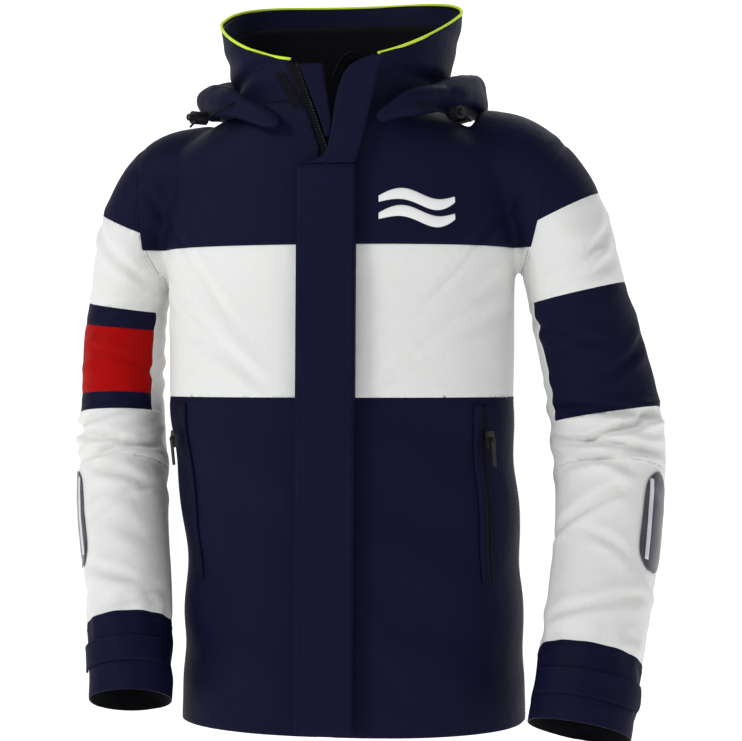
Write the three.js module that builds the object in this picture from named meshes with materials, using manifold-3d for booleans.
// Foul weather jacket, held up by its hanger loop. Millimetres, +Z up, +X to the wearer's left, front faces -Y.
// Heights are measured up from the hem; the whole jacket is then lowered so that the hanger loop is the origin.
import * as THREE from 'three';
import { mergeVertices } from 'three/addons/utils/BufferGeometryUtils.js';
import Module from 'manifold-3d';

const wasm = await Module();
wasm.setup();

// ---------- driving dimensions ----------
const CLOTH = 3; // shell, membrane and lining together
const SEAM_GAP = 0.5; // between neighbouring panels
const LAYER_GAP = 0.5; // between a layer and what it lies on

const LOWER_LENGTH = 374; // hem to the white chest band
const BAND_HEIGHT = 170; // white chest band
const YOKE_HEIGHT = 161; // chest band to the neck seam
const COLLAR_BACK = 142; // neck seam to the rim at the nape
const COLLAR_FRONT = 44; // neck seam to the rim at the throat

const HEM_HALF = 205; // half widths of the body
const WAIST_HALF = 200;
const CHEST_HALF = 208;
const NECK_HALF = 121;
const RIM_FLARE = 21; // how much wider the rim is than the neck seam, each side
const FRONT_DEPTH = 150; // front of the body ahead of the side seams, at the hem
const FRONT_LEAN = 22; // how far the front line leans back by the top of the zip
const BACK_DEPTH = 138; // back of the body behind the side seams, at the chest
const NECK_BACK = 88;
const SWAY = 15; // the hem hangs this far to the wearer's left

const FRONT_CENTRE = 7; // the zip line
const ZIP_HALF = 9; // half width of the two zip tapes together
const FLAP_RIGHT = 33; // storm flap, free edge from the zip line
const FLAP_LEFT = 33; // storm flap, sewn edge from the zip line
const FLAP_STAND = 9; // storm flap ahead of the shell

const TAB_WIDTH = 26;
const CORD = 2.6;
const LOCK_RADIUS = 7.5;
const LOCK_LENGTH = 18;
const PLUNGER_RADIUS = 4;
const PLUNGER_TRAVEL = 3;

const bandLow = LOWER_LENGTH;
const bandHigh = bandLow + BAND_HEIGHT;
const neck = bandHigh + YOKE_HEIGHT;
const zipTop = neck - 53;
const rimBack = neck + COLLAR_BACK;
const rimFront = neck + COLLAR_FRONT;
const loopHeight = neck + 86;
const SIDE = THREE.MathUtils.degToRad(92); // side seams
const TURN = 2 * Math.PI;

// ---------- materials ----------
const COLOURS = {
  navy: [0x14152a, 0.8], white: [0xe2e4e2, 0.8], red: [0xb90505, 0.75], lime: [0xdef85a, 0.7],
  black: [0x08080e, 0.85], plastic: [0x0a0a10, 0.35], grey: [0x4e4c58, 0.35],
};

function cloth(name) {
  const [color, roughness] = COLOURS[name];
  return new THREE.MeshStandardMaterial({ color, roughness, metalness: 0 });
}

const jacket = new THREE.Group();

function add(name, geometry, colour, parent = jacket) {
  const mesh = new THREE.Mesh(geometry, cloth(colour));
  mesh.name = name;
  parent.add(mesh);
  return mesh;
}

// ---------- solids ----------
function indexed(points, faces) {
  const geometry = new THREE.BufferGeometry();
  geometry.setAttribute('position', new THREE.Float32BufferAttribute(points.flatMap((p) => p.toArray()), 3));
  geometry.setIndex(faces);
  geometry.computeVertexNormals();
  return geometry;
}

const at = (value, x) => (typeof value === 'function' ? value(x) : value);

// A panel of cloth on surface(u, v, depth): closed, with its edges square to the cloth.
function skin(surface, { from = 0, to = TURN, low, high, across, along, outer = 0, inner = CLOTH }) {
  const closed = from === 0 && to === TURN;
  const columns = closed ? across : across + 1;
  const rows = along + 1;
  const points = [];
  for (const depth of [outer, inner]) {
    for (let j = 0; j < rows; j++) {
      const t = j / along;
      const nominal = THREE.MathUtils.lerp(at(low, Math.PI), at(high, Math.PI), t);
      for (let i = 0; i < columns; i++) {
        const u = THREE.MathUtils.lerp(at(from, nominal), at(to, nominal), i / across);
        points.push(surface(u, THREE.MathUtils.lerp(at(low, u), at(high, u), t), depth));
      }
    }
  }
  const back = rows * columns;
  const faces = [];
  const quad = (a, b, c, d) => faces.push(a, b, c, a, c, d);
  const id = (i, j) => j * columns + (i % columns);
  for (let i = 0; i < across; i++) {
    for (let j = 0; j < along; j++) {
      const [a, b, c, d] = [id(i, j), id(i + 1, j), id(i + 1, j + 1), id(i, j + 1)];
      quad(a, b, c, d);
      quad(back + d, back + c, back + b, back + a);
    }
    quad(id(i + 1, 0), id(i, 0), back + id(i, 0), back + id(i + 1, 0));
    quad(id(i, along), id(i + 1, along), back + id(i + 1, along), back + id(i, along));
  }
  for (let j = 0; j < along && !closed; j++) {
    quad(id(0, j), id(0, j + 1), back + id(0, j + 1), back + id(0, j));
    quad(id(across, j + 1), id(across, j), back + id(across, j), back + id(across, j + 1));
  }
  return indexed(points, faces);
}

// Everything inside surface(u, v, depth), as one filled solid.
function core(surface, { low, high, across, along, depth }) {
  const points = [];
  for (let j = 0; j <= along; j++) {
    for (let i = 0; i < across; i++) {
      points.push(surface((TURN * i) / across, THREE.MathUtils.lerp(low, high, j / along), depth));
    }
  }
  const middle = (j) => {
    const ring = points.slice(j * across, (j + 1) * across);
    return ring.reduce((sum, p) => sum.add(p), new THREE.Vector3()).divideScalar(across);
  };
  const [bottom, top] = [middle(0), middle(along)];
  points.push(bottom, top);
  const faces = [];
  const id = (i, j) => j * across + (i % across);
  for (let i = 0; i < across; i++) {
    for (let j = 0; j < along; j++) {
      faces.push(id(i, j), id(i + 1, j), id(i + 1, j + 1), id(i, j), id(i + 1, j + 1), id(i, j + 1));
    }
    faces.push(points.length - 2, id(i + 1, 0), id(i, 0), points.length - 1, id(i, along), id(i + 1, along));
  }
  return indexed(points, faces);
}

function solid(geometry) {
  const bare = geometry.clone();
  bare.deleteAttribute('normal');
  bare.deleteAttribute('uv');
  const merged = mergeVertices(bare, 1e-4);
  const vertProperties = new Float32Array(merged.attributes.position.array);
  const triVerts = new Uint32Array(merged.index.array);
  return new wasm.Manifold(new wasm.Mesh({ numProp: 3, vertProperties, triVerts }));
}

// A manifold solid as three.js geometry.
function geometryOf(shape) {
  const mesh = shape.getMesh();
  const geometry = new THREE.BufferGeometry();
  geometry.setAttribute('position', new THREE.Float32BufferAttribute(Array.from(mesh.vertProperties), 3));
  geometry.setIndex(Array.from(mesh.triVerts));
  geometry.computeVertexNormals();
  return geometry;
}

// The geometry less each tool; a cut that parts it keeps the largest piece.
function cut(geometry, ...tools) {
  const left = tools.reduce((shape, tool) => shape.subtract(tool), solid(geometry));
  const largest = left.decompose().sort((a, b) => b.volume() - a.volume())[0];
  return geometryOf(largest);
}

// Smooth curve through rows of [x, value, ...], read at x.
function smooth(rows, x, column = 1) {
  const last = rows.length - 1;
  const k = Math.max(0, Math.min(last - 1, rows.findIndex((row) => row[0] > x) - 1));
  const i = x >= rows[last][0] ? last - 1 : k;
  const t = THREE.MathUtils.clamp((x - rows[i][0]) / (rows[i + 1][0] - rows[i][0]), 0, 1);
  const slope = (j) => {
    const [a, b] = [Math.max(j - 1, 0), Math.min(j + 1, last)];
    return (rows[b][column] - rows[a][column]) / (rows[b][0] - rows[a][0]);
  };
  const width = rows[i + 1][0] - rows[i][0];
  const [p, q] = [rows[i][column], rows[i + 1][column]];
  const [m, n] = [slope(i) * width, slope(i + 1) * width];
  return p * (2 * t ** 3 - 3 * t ** 2 + 1) + m * (t ** 3 - 2 * t ** 2 + t)
    + q * (3 * t ** 2 - 2 * t ** 3) + n * (t ** 3 - t ** 2);
}

// ---------- body surface: u round from the front centre towards +X, v is the height ----------
const SQUARENESS = 2.3; // superellipse exponent of the body's section
const BODY = [ // height, half width, depth behind the side seams
  [0, HEM_HALF, BACK_DEPTH - 16],
  [bandLow * 0.55, WAIST_HALF, BACK_DEPTH - 9],
  [bandLow, CHEST_HALF - 2, BACK_DEPTH],
  [bandHigh - 60, CHEST_HALF - 1, BACK_DEPTH],
  [bandHigh + 50, CHEST_HALF, BACK_DEPTH - 10],
  [neck - 55, CHEST_HALF - 6, NECK_BACK + 22],
  [neck - 28, (CHEST_HALF + NECK_HALF) / 2 + 2, NECK_BACK + 10],
  [neck, NECK_HALF, NECK_BACK],
  [neck + 55, NECK_HALF + RIM_FLARE / 2, NECK_BACK + 4],
  [neck + 110, NECK_HALF + RIM_FLARE, NECK_BACK + 11],
  [rimBack + 10, NECK_HALF + RIM_FLARE + 1, NECK_BACK + 13],
];
const swayAt = (z) => SWAY * (1 - THREE.MathUtils.smoothstep(z, bandLow * 0.45, bandLow));
const frontLine = (z) => -FRONT_DEPTH + (FRONT_LEAN * z) / zipTop;
const power = (value) => Math.sign(value) * Math.abs(value) ** (2 / SQUARENESS);

function bodyPoint(u, z, depth) {
  const depthHere = Math.cos(u) > 0 ? -frontLine(z) : smooth(BODY, z, 2);
  const x = swayAt(z) + power(Math.sin(u)) * (smooth(BODY, z) - depth);
  return new THREE.Vector3(x, -power(Math.cos(u)) * (depthHere - depth), z);
}

// The angle at which the body's front is x wide of the middle.
function angleAt(x, z) {
  const share = (x - swayAt(z)) / smooth(BODY, z);
  return Math.sign(share) * Math.asin(Math.abs(share) ** (SQUARENESS / 2));
}

const lean = (z) => Math.max(0, z - zipTop) / (rimFront - zipTop); // how far the open front has parted
const rightEdge = (z) => FRONT_CENTRE - ZIP_HALF - 0.6 - 34 * lean(z);
const leftEdge = (z) => FRONT_CENTRE + ZIP_HALF + 0.6 + 44 * lean(z);
const rimHeight = (u) => {
  const away = (1 + Math.cos(u)) / 2; // 1 at the throat, 0 at the nape
  return rimBack - (rimBack - rimFront) * away ** 1.7;
};

const CUT_GAP = 1.2; // round a solid that trims its neighbours
const bodyCore = solid(core(bodyPoint, { low: -20, high: rimBack + 9, across: 52, along: 30, depth: -CUT_GAP }));

// ---------- sleeve surfaces: u round from the front towards +X, v along the sleeve from 0 to 1 ----------
// Rows: out from the chest's side, forward, below the neck seam, half width, half depth.
const SLEEVES = {
  right: {
    side: -1,
    rows: [
      [-68, 0, 65, 56, 68], [-8, -2, 78, 55, 70], [30, -6, 132, 50, 68], [51, -10, 219, 45, 66],
      [58, -10, 305, 48, 65], [56, 0, 385, 50, 62], [49, 25, 462, 52, 58], [31, 62, 555, 50, 54],
      [19, 100, 643, 48, 51], [16, 114, 675, 48, 50],
    ],
  },
  left: {
    side: 1,
    rows: [
      [-58, 0, 50, 56, 68], [0, -2, 67, 56, 70], [45, -5, 129, 58, 68], [68, -8, 219, 57, 67],
      [92, -8, 315, 65, 65], [104, 0, 395, 65, 62], [104, 25, 470, 61, 59], [96, 60, 560, 59, 56],
      [84, 96, 643, 58, 54], [76, 116, 695, 58, 54],
    ],
  },
};

for (const sleeve of Object.values(SLEEVES)) {
  const points = sleeve.rows.map(([out, forward, below]) => (
    new THREE.Vector3(sleeve.side * (CHEST_HALF + out), -forward, neck - below)));
  sleeve.path = new THREE.CatmullRomCurve3(points, false, 'catmullrom', 0.5);
  sleeve.sizes = sleeve.rows.map((row, i) => [i / (sleeve.rows.length - 1), row[3], row[4]]);
  sleeve.surface = (u, v, depth) => {
    const along = sleeve.path.getTangent(v);
    const forward = new THREE.Vector3(0, -1, 0);
    forward.addScaledVector(along, -forward.dot(along)).normalize();
    const outward = new THREE.Vector3().crossVectors(forward, along);
    return sleeve.path.getPoint(v)
      .addScaledVector(outward, Math.sin(u) * (smooth(sleeve.sizes, v) - depth))
      .addScaledVector(forward, Math.cos(u) * (smooth(sleeve.sizes, v, 2) - depth));
  };
  sleeve.at = (below) => { // the place along the sleeve that is this far below the neck seam
    let [a, b] = [0, 1];
    for (let k = 0; k < 30; k++) {
      const middle = (a + b) / 2;
      if (sleeve.path.getPoint(middle).z > neck - below) a = middle;
      else b = middle;
    }
    return (a + b) / 2;
  };
  sleeve.core = solid(core(sleeve.surface, { low: 1, high: 0.01, across: 24, along: 26, depth: -CUT_GAP }));
}
const sleeveCores = [SLEEVES.right.core, SLEEVES.left.core];

// ---------- body panels ----------
function bodyPanel(name, colour, range, trim = false) {
  const geometry = skin(bodyPoint, range);
  add(name, trim ? cut(geometry, ...sleeveCores) : geometry, colour);
}

const gapAngle = (z) => SEAM_GAP / smooth(BODY, z);
const frontSides = {
  right: [(z) => -SIDE, (z) => angleAt(rightEdge(z), z)],
  left: [(z) => angleAt(leftEdge(z), z), (z) => SIDE],
};
for (const [side, [from, to]] of Object.entries(frontSides)) {
  const lower = { from, to, low: 0, high: bandLow - SEAM_GAP, across: 9, along: 13 };
  const chest = { from, to, low: bandLow, high: bandHigh - SEAM_GAP, across: 8, along: 4 };
  const yoke = { from, to, low: bandHigh, high: neck - SEAM_GAP, across: 10, along: 9 };
  bodyPanel(`lower_front_${side}`, 'navy', lower, true);
  bodyPanel(`chest_panel_${side}`, 'white', chest, true);
  bodyPanel(`front_yoke_${side}`, 'navy', yoke, true);
}

// The white back band runs down behind each side seam as a tapering underarm gusset.
const gussetDrop = (u) => 86 * Math.max(0, 1 - Math.abs(Math.abs(u - Math.PI) - (Math.PI - SIDE)) / 0.3);
const back = { from: (z) => SIDE + gapAngle(z), to: (z) => TURN - SIDE - gapAngle(z) };
bodyPanel('back_lower', 'navy',
  { ...back, low: 0, high: (u) => bandLow - SEAM_GAP - gussetDrop(u), across: 22, along: 9 }, true);
bodyPanel('back_band', 'white',
  { ...back, low: (u) => bandLow - gussetDrop(u), high: bandHigh - SEAM_GAP, across: 22, along: 4 }, true);
bodyPanel('back_yoke', 'navy', { ...back, low: bandHigh, high: neck - SEAM_GAP, across: 20, along: 9 }, true);

// ---------- collar ----------
const collarOpen = { from: (z) => angleAt(leftEdge(z), z), to: (z) => TURN + angleAt(rightEdge(z), z) };
add('collar_shell', skin(bodyPoint, { ...collarOpen, low: neck, high: rimHeight, across: 32, along: 5 }), 'navy');
const LINING_GAP = 2.5; // the lining hangs this far inside the shell
const LINING = 2;
const liningDepth = { outer: CLOTH + LINING_GAP, inner: CLOTH + LINING_GAP + LINING };
const FACING = 24; // navy facing below the rim, inside
add('collar_facing', skin(bodyPoint, {
  ...collarOpen, low: (u) => rimHeight(u) - FACING, high: rimHeight, across: 32, along: 2, ...liningDepth,
}), 'navy');
add('collar_lining', skin(bodyPoint, {
  ...collarOpen, low: neck, high: (u) => rimHeight(u) - FACING - SEAM_GAP, across: 32, along: 4, ...liningDepth,
}), 'black');

function rod(points, radius, steps, sides = 8) {
  const section = new THREE.Shape();
  for (let k = 0; k < sides; k++) {
    const angle = (TURN * k) / sides;
    section[k ? 'lineTo' : 'moveTo'](radius * Math.cos(angle), radius * Math.sin(angle));
  }
  const path = new THREE.CatmullRomCurve3(points, false, 'centripetal');
  return new THREE.ExtrudeGeometry(section, { extrudePath: path, steps, bevelEnabled: false });
}

const PIPING = 1.8;
const rimPoints = [];
for (let k = 0; k <= 24; k++) {
  const z = rimFront;
  const u = THREE.MathUtils.lerp(collarOpen.from(z), collarOpen.to(z), k / 24);
  rimPoints.push(bodyPoint(u, rimHeight(u) + PIPING + 0.9, CLOTH / 2));
}
add('collar_piping', rod(rimPoints, PIPING, 44, 6), 'lime');

const LOOP_RADIUS = 2;
const loopDepth = smooth(BODY, loopHeight, 2) - CLOTH - LINING_GAP - LINING - LOOP_RADIUS - 4;
const LOOP_DROP = 30;
add('hanger_loop', rod([
  new THREE.Vector3(-24, loopDepth - 3, loopHeight - LOOP_DROP),
  new THREE.Vector3(-14, loopDepth, loopHeight - 8),
  new THREE.Vector3(0, loopDepth - 1, loopHeight),
  new THREE.Vector3(14, loopDepth, loopHeight - 8),
  new THREE.Vector3(24, loopDepth - 3, loopHeight - LOOP_DROP),
], LOOP_RADIUS, 12), 'black');

// ---------- front plane: x across, y up the front line, depth outwards ----------
const frontPlane = new THREE.Group();
frontPlane.position.y = -FRONT_DEPTH;
frontPlane.rotation.x = -Math.atan(FRONT_LEAN / zipTop);
jacket.add(frontPlane);

function sheet(outline, standOff, thickness) {
  const shape = new THREE.Shape(outline.map(([x, y]) => new THREE.Vector2(x, y)));
  const geometry = new THREE.ExtrudeGeometry(shape, { depth: thickness, bevelEnabled: false });
  return geometry.rotateX(Math.PI / 2).translate(0, -standOff, 0);
}

const TAPE = 1.6;
const zipRise = rimFront - zipTop;
add('zip_tape_right', sheet([
  [FRONT_CENTRE - ZIP_HALF, 6], [FRONT_CENTRE - 0.3, 6], [FRONT_CENTRE - 0.3, zipTop],
  [FRONT_CENTRE - 36, zipTop + zipRise], [FRONT_CENTRE - 41, zipTop + zipRise], [FRONT_CENTRE - ZIP_HALF, zipTop + 6],
], -TAPE - 0.8, TAPE), 'black', frontPlane);
add('zip_tape_left', sheet([
  [FRONT_CENTRE + 0.3, 6], [FRONT_CENTRE + ZIP_HALF, 6], [FRONT_CENTRE + ZIP_HALF, zipTop + 6],
  [FRONT_CENTRE + 51, zipTop + zipRise], [FRONT_CENTRE + 46, zipTop + zipRise], [FRONT_CENTRE + 0.3, zipTop],
], -TAPE - 0.8, TAPE), 'black', frontPlane);

add('chin_guard', sheet([
  [FRONT_CENTRE - 1, zipTop + 30], [FRONT_CENTRE - 4, zipTop + 72], [FRONT_CENTRE - 12, zipTop + zipRise + 2],
  [FRONT_CENTRE - 35, zipTop + zipRise + 1], [FRONT_CENTRE - 14, zipTop + 34], [FRONT_CENTRE - 6, zipTop + 24],
], 0.4, CLOTH), 'navy', frontPlane);

const flapTop = zipTop - 20;
const flapHinge = FRONT_CENTRE + FLAP_LEFT;
add('storm_flap', sheet([
  [FRONT_CENTRE - FLAP_RIGHT, 3], [flapHinge, 3], [flapHinge, flapTop], [FRONT_CENTRE - FLAP_RIGHT, flapTop],
], FLAP_STAND, CLOTH), 'navy', frontPlane);
add('flap_stand', sheet([
  [flapHinge - 3, 3], [flapHinge, 3], [flapHinge, flapTop], [flapHinge - 3, flapTop],
], 1.5, FLAP_STAND - 2), 'navy', frontPlane);
add('flap_head', sheet([
  [FRONT_CENTRE - 9, flapTop + 1], [flapHinge, flapTop + 1], [flapHinge + 6, zipTop + 15],
  [flapHinge + 23, zipTop + zipRise + 6], [FRONT_CENTRE + 30, zipTop + zipRise + 3],
  [FRONT_CENTRE + 15, zipTop + 80], [FRONT_CENTRE + 1, zipTop + 30], [FRONT_CENTRE - 7, zipTop],
], FLAP_STAND, CLOTH), 'navy', frontPlane);

// ---------- sliders and pulls ----------
const SLIDER = { half: 6, height: 20, base: 0.5, thick: 4.4 };
const PULL = { half: 3.4, length: 30, thick: 2, pin: 1.8 };

function sliderGeometry() {
  const body = sheet([
    [-SLIDER.half + 2, 0], [SLIDER.half - 2, 0], [SLIDER.half, SLIDER.height - 5], [SLIDER.half - 2, SLIDER.height],
    [-SLIDER.half + 2, SLIDER.height], [-SLIDER.half, SLIDER.height - 5],
  ], -SLIDER.base, SLIDER.thick);
  const pin = new THREE.CylinderGeometry(PULL.pin, PULL.pin, PULL.thick + 2, 16);
  pin.translate(0, SLIDER.base - SLIDER.thick - PULL.thick / 2 - 0.4, SLIDER.height / 2);
  return geometryOf(solid(body).add(solid(pin)));
}

function pullGeometry() {
  const shape = new THREE.Shape();
  shape.absarc(0, 0, PULL.half, 0, Math.PI);
  shape.lineTo(-PULL.half + 0.8, -PULL.length);
  shape.lineTo(PULL.half - 0.8, -PULL.length);
  const hole = new THREE.Path();
  hole.absarc(0, 0, PULL.pin + 0.4, 0, TURN, true);
  shape.holes.push(hole);
  const geometry = new THREE.ExtrudeGeometry(shape, { depth: PULL.thick, bevelEnabled: false, curveSegments: 12 });
  return geometry.rotateX(Math.PI / 2).translate(0, 0, SLIDER.height / 2);
}

function zipSlider(name, place) {
  add(`${name}_slider`, sliderGeometry(), 'plastic', place);
  const pull = add(`${name}_pull`, pullGeometry(), 'plastic', place);
  pull.position.y = SLIDER.base - SLIDER.thick - 0.5;
}

const mainZip = new THREE.Group();
mainZip.position.set(FRONT_CENTRE, 0, flapTop - SLIDER.height);
frontPlane.add(mainZip);
zipSlider('main_zip', mainZip);

// ---------- pockets ----------
const POCKET_LOW = 168;
const POCKET_HIGH = bandLow - 8;
const POCKET_ANGLE = THREE.MathUtils.degToRad(58);
const WELT = 16;
for (const [side, sign] of [['right', -1], ['left', 1]]) {
  const angle = sign * POCKET_ANGLE;
  const halfZip = 5 / CHEST_HALF;
  const tape = { low: POCKET_LOW, high: POCKET_HIGH, across: 2, along: 8, outer: -LAYER_GAP - 1, inner: -LAYER_GAP };
  add(`pocket_zip_${side}`, skin(bodyPoint, { ...tape, from: angle - halfZip, to: angle + halfZip }), 'black');
  const seam = angle - sign * (halfZip + 0.6 / CHEST_HALF);
  const far = seam - (sign * WELT) / CHEST_HALF;
  const welt = { ...tape, outer: -LAYER_GAP - 2.5, from: Math.min(seam, far), to: Math.max(seam, far) };
  add(`pocket_welt_${side}`, skin(bodyPoint, welt), 'navy');
  const clear = welt.outer - SLIDER.base - 0.5; // the slider's own underside runs above the welt
  const [bottom, top] = [bodyPoint(angle, POCKET_LOW + 6, clear), bodyPoint(angle, POCKET_HIGH - 50, clear)];
  const place = new THREE.Group();
  const up = top.clone().sub(bottom).normalize();
  const out = bodyPoint(angle, POCKET_HIGH, -1).sub(bodyPoint(angle, POCKET_HIGH, 0)).normalize();
  out.addScaledVector(up, -out.dot(up)).normalize();
  const right = new THREE.Vector3().crossVectors(out.clone().negate(), up);
  place.quaternion.setFromRotationMatrix(new THREE.Matrix4().makeBasis(right, out.clone().negate(), up));
  place.position.copy(top);
  jacket.add(place);
  zipSlider(`pocket_${side}`, place);
}

// ---------- trim on the front ----------
const EMBLEM = { low: bandHigh + 26, height: 24, wave: 6 };
const emblemWave = (u) => EMBLEM.wave * Math.sin((u - angleAt(64, bandHigh)) * 16);
add('chest_emblem', skin(bodyPoint, {
  from: () => angleAt(64, bandHigh + 40), to: () => angleAt(146, bandHigh + 40),
  low: (u) => EMBLEM.low + emblemWave(u), high: (u) => EMBLEM.low + EMBLEM.height + emblemWave(u),
  across: 16, along: 2, outer: -LAYER_GAP - 1, inner: -LAYER_GAP,
}), 'white');

const patchTilt = (z) => (z - neck + 8) * 0.56;
add('collar_hook_patch', skin(bodyPoint, {
  from: (z) => angleAt(FRONT_CENTRE - 40 - patchTilt(z), z), to: (z) => angleAt(FRONT_CENTRE - 27 - patchTilt(z), z),
  low: neck - 8, high: neck + 32, across: 3, along: 4, outer: -LAYER_GAP - 1.2, inner: -LAYER_GAP,
}), 'black');

// ---------- hood drawcords and their locks ----------
function lockBarrel() {
  const barrel = solid(new THREE.CylinderGeometry(LOCK_RADIUS, LOCK_RADIUS, LOCK_LENGTH, 20));
  const bore = new THREE.CylinderGeometry(PLUNGER_RADIUS + 0.4, PLUNGER_RADIUS + 0.4, LOCK_LENGTH, 20);
  bore.translate(0, 7, 0);
  const cross = new THREE.CylinderGeometry(CORD / 2 + 0.6, CORD / 2 + 0.6, 3 * LOCK_RADIUS, 12);
  cross.rotateX(Math.PI / 2).translate(0, -5.5, 0);
  return geometryOf(barrel.subtract(solid(bore)).subtract(solid(cross)));
}

const cordTools = []; // the room that the cords and locks need in the hood
for (const [side, sign] of [['right', -1], ['left', 1]]) {
  const lock = new THREE.Vector3(sign * 147, -98, neck - 14);
  const through = new THREE.Vector3(sign * 0.73, 0.68, 0).normalize(); // the cord's way through the lock
  const press = new THREE.Vector3(sign * 0.68, -0.73, 0).normalize(); // the plunger's way out
  const place = new THREE.Group();
  const third = new THREE.Vector3().crossVectors(press, through);
  place.quaternion.setFromRotationMatrix(new THREE.Matrix4().makeBasis(third, press, through));
  place.position.copy(lock);
  jacket.add(place);
  add(`cord_lock_${side}`, lockBarrel(), 'plastic', place);
  const plungerLength = 13;
  const plunger = new THREE.CylinderGeometry(PLUNGER_RADIUS, PLUNGER_RADIUS, plungerLength, 20);
  plunger.translate(0, -2 + PLUNGER_TRAVEL + 0.6 + plungerLength / 2, 0);
  add(`cord_lock_plunger_${side}`, plunger, 'plastic', place);

  const hole = lock.clone().addScaledVector(press, -5.5);
  const route = [
    new THREE.Vector3(sign * 92, -120, neck + 4),
    new THREE.Vector3(sign * 99, -128, neck - 1),
    new THREE.Vector3(sign * 109, -130, neck - 7),
    new THREE.Vector3(sign * 121, -126, neck - 12),
    hole.clone().addScaledVector(through, -14),
    hole.clone(),
    hole.clone().addScaledVector(through, 12),
    hole.clone().addScaledVector(through, 18).add(new THREE.Vector3(0, 0, -3)),
    hole.clone().addScaledVector(through, 23).add(new THREE.Vector3(sign * 2, -2, -8)),
  ];
  add(`hood_cord_${side}`, rod(route, CORD / 2, 16), 'black');
  const room = new THREE.CylinderGeometry(LOCK_RADIUS + 1, LOCK_RADIUS + 1, LOCK_LENGTH + 2, 20);
  room.applyQuaternion(place.quaternion).translate(lock.x, lock.y, lock.z);
  cordTools.push(solid(room), solid(rod(route, CORD / 2 + 0.6, 16)));
}

// ---------- stowed hood: a roll round the neck seam and the bag that hangs behind ----------
const rollPath = new THREE.CatmullRomCurve3([
  [-50, -133, -22], [-96, -110, -5], [-143, -32, 14], [-136, 48, 20], [-72, 98, 22],
  [0, 110, 22], [72, 98, 22], [138, 48, 20], [147, -32, 16], [100, -110, -3], [66, -131, -20],
].map(([x, y, z]) => new THREE.Vector3(x, y, neck + z)), false, 'centripetal');
const rollSurface = (u, v, depth) => {
  const along = rollPath.getTangent(v);
  const outward = new THREE.Vector3().crossVectors(along, new THREE.Vector3(0, 0, 1)).normalize();
  const up = new THREE.Vector3().crossVectors(outward, along);
  const radius = 12 + 10 * Math.sin(Math.PI * v) ** 0.6 - depth;
  return rollPath.getPoint(v)
    .addScaledVector(outward, Math.cos(u) * radius)
    .addScaledVector(up, Math.sin(u) * radius * 1.15);
};
const rollCore = (depth) => core(rollSurface, { low: 1, high: 0, across: 14, along: 30, depth });
const ROLL_REST = 4; // the roll rests this far off the yokes, whose flat facets stand proud of the curve at the neck
const yokeCore = solid(core(bodyPoint, { low: bandHigh, high: neck + 30, across: 40, along: 24, depth: -ROLL_REST }));
add('hood_roll', cut(rollCore(0), bodyCore, yokeCore, ...cordTools), 'navy');

const HOOD_WIDTH = 104;
const HOOD_DROP = 128;
const HOOD_BULGE = 30;
const hoodTop = neck - 3;
const hoodSurface = (u, z, depth) => {
  const t = (hoodTop - z) / HOOD_DROP; // 0 at the top, 1 at the point
  const half = HOOD_WIDTH * Math.sqrt(Math.max(0, 1 - t ** 2.6)) + 3 - depth;
  const thick = 2.5 + HOOD_BULGE * (1 - (1 - Math.min(t, 0.6) / 0.6) ** 2) * (1 - 0.6 * Math.max(0, t - 0.6)) - depth;
  const backLine = smooth(BODY, z, 2) * 0.25 + (NECK_BACK + 30) * 0.75;
  const x = Math.sin(u) * half;
  const hug = (x / HOOD_WIDTH) ** 2 * 26; // the bag's sides lie round the back
  return new THREE.Vector3(x, backLine + 16 + thick * -Math.cos(u) * 0.5 + thick * 0.5 - hug, z);
};
add('hood_bag', cut(core(hoodSurface, {
  low: hoodTop - HOOD_DROP, high: hoodTop, across: 20, along: 10, depth: 0,
}), bodyCore, solid(rollCore(-LAYER_GAP))), 'navy');

// ---------- sleeves ----------
function ring(sleeve, name, colour, top, bottom, along, options = {}) {
  const range = { low: sleeve.at(bottom), high: sleeve.at(top), across: 18, along, ...options };
  const trim = options.trim;
  const geometry = skin(sleeve.surface, range);
  add(`${name}_${sleeve.side < 0 ? 'right' : 'left'}`, trim ? cut(geometry, bodyCore) : geometry, colour);
}

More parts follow.
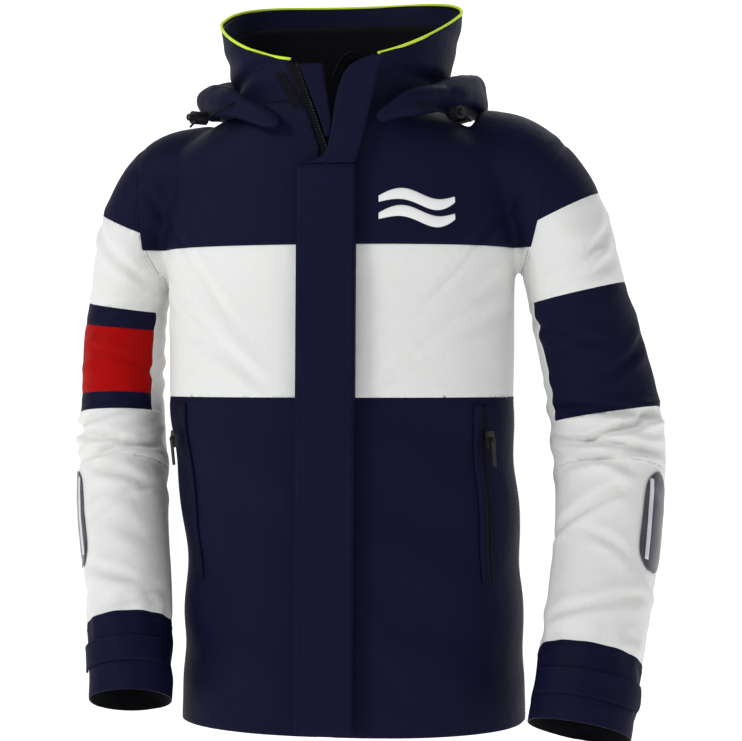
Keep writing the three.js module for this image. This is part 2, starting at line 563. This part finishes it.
// Upper sleeve pieces: name, colour, top and bottom below the neck seam.
const UPPER = {
  right: [['upper_sleeve', 'white', 130, 226], ['sleeve_band_upper', 'navy', 226, 249],
    ['sleeve_band_red', 'red', 249, 331], ['sleeve_band_lower', 'navy', 331, 353]],
  left: [['upper_sleeve', 'white', 105, 210], ['sleeve_band', 'navy', 210, 353]],
};
const ELBOW = 64; // length of the soft stretch at the elbow
const CUFF = { right: 593, left: 617 };
const CUFF_END = { right: 675, left: 695 };
const STRIP_TOP = { right: 226, left: 210 };
const STRIP = THREE.MathUtils.degToRad(34); // half of the under-sleeve strip's angle

for (const [side, sleeve] of Object.entries(SLEEVES)) {
  const half = SEAM_GAP / 2;
  const inwards = sleeve.side < 0 ? Math.PI / 2 : -Math.PI / 2;
  const outwards = -inwards;
  const capEnd = UPPER[side][0][2];
  ring(sleeve, 'sleeve_cap', 'navy', sleeve.rows[0][2] + 4, capEnd - half, 5, { trim: true });
  for (const [name, colour, top, bottom] of UPPER[side]) {
    const open = top >= STRIP_TOP[side];
    const wrap = { from: inwards + STRIP, to: inwards - STRIP + TURN, across: 14 };
    const along = Math.max(1, Math.round((bottom - top) / 30));
    ring(sleeve, name, colour, top + half, bottom - half, along, open ? wrap : { trim: true });
  }
  const elbowTop = UPPER[side].at(-1)[3];
  const edge = 0.6 / sleeve.rows[4][3];
  ring(sleeve, 'under_sleeve', 'white', STRIP_TOP[side] + half, elbowTop - half, 4,
    { from: inwards - STRIP + edge, to: inwards + STRIP - edge, across: 4, trim: true });
  ring(sleeve, 'elbow', 'white', elbowTop + half, elbowTop + ELBOW - half, 3);
  ring(sleeve, 'forearm', 'white', elbowTop + ELBOW + half, CUFF[side] - half, 6);
  ring(sleeve, 'cuff', 'navy', CUFF[side] + half, CUFF_END[side], 2);
  const patchTop = elbowTop + ELBOW + 8;
  const patchMiddle = outwards - sleeve.side * 0.3; // turned a little to the front
  ring(sleeve, 'reflective_patch', 'grey', patchTop, patchTop + 104, 5, {
    from: patchMiddle - 0.42, to: patchMiddle + 0.42, across: 5, outer: -LAYER_GAP - 1, inner: -LAYER_GAP,
  });
  const tab = {
    from: sleeve.side < 0 ? -1.5 : -1.1, to: sleeve.side < 0 ? 1.1 : 1.5, across: 12,
    outer: -LAYER_GAP - 2, inner: -LAYER_GAP,
  };
  const tabTop = CUFF[side] + 26;
  ring(sleeve, 'cuff_tab', 'navy', tabTop, tabTop + TAB_WIDTH, 1, tab);
}

jacket.position.set(0, 1 - loopDepth, -loopHeight);

export default jacket;
